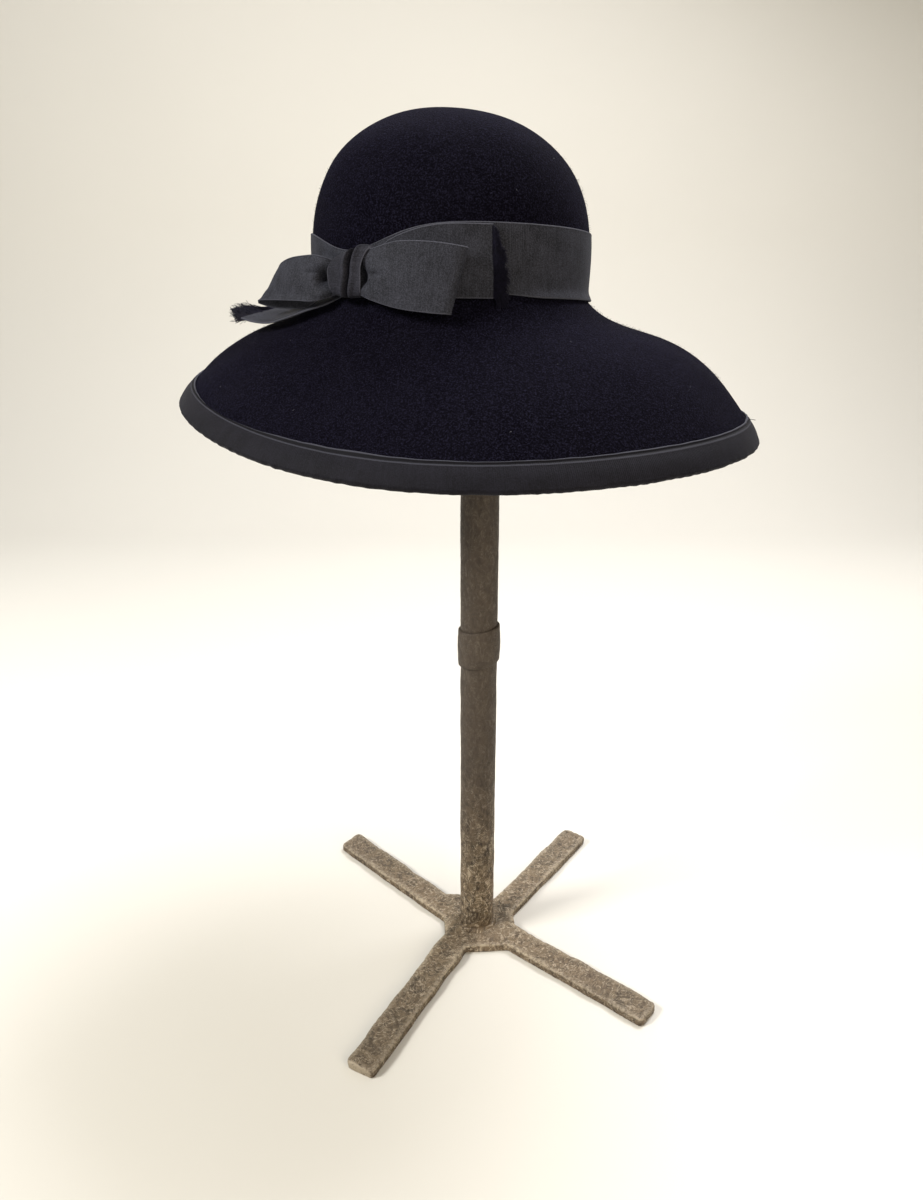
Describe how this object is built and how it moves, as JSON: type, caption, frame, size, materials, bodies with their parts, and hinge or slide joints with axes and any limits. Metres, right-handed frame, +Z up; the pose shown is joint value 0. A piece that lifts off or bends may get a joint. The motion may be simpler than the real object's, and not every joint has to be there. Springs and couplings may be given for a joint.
{
  "type": "wide-brim felt hat on an iron stand",
  "caption": "Wide-brim felt hat with a domed crown, a drooping bound brim and a tied ribbon bow, resting on a plain iron post with a flat crossed foot.",
  "frame": {"origin": "on the surface that the stand rests on, under the axis of its post", "axes": "+Z up along the post; the side with the bow faces -Y, and the wearer's front points between +X and -Y"},
  "size_m": [0.3759, 0.3565, 0.6017],
  "materials": {
    "navy_felt": "brushed wool felt, very dark navy",
    "navy_ribbon": "ribbed grosgrain, dark navy",
    "grey_ribbon": "ribbed grosgrain, faded navy grey",
    "navy_threads": "frayed ribbon threads",
    "rusty_iron": "bare iron, mottled with old rust"
  },
  "bodies": {
    "root": {"felt_body": "navy_felt", "brim_binding": "navy_ribbon", "hat_band": "grey_ribbon", "bow_knot": "grey_ribbon", "bow_front_loop": "grey_ribbon", "bow_back_loop": "grey_ribbon", "bow_front_tail": "grey_ribbon", "bow_back_tail": "grey_ribbon", "front_tail_fringe": "navy_threads", "back_tail_fringe": "navy_threads", "foot_and_lower_post": "rusty_iron", "post_coupling": "rusty_iron", "upper_post_and_cap": "rusty_iron"}
  },
  "joints": []
}
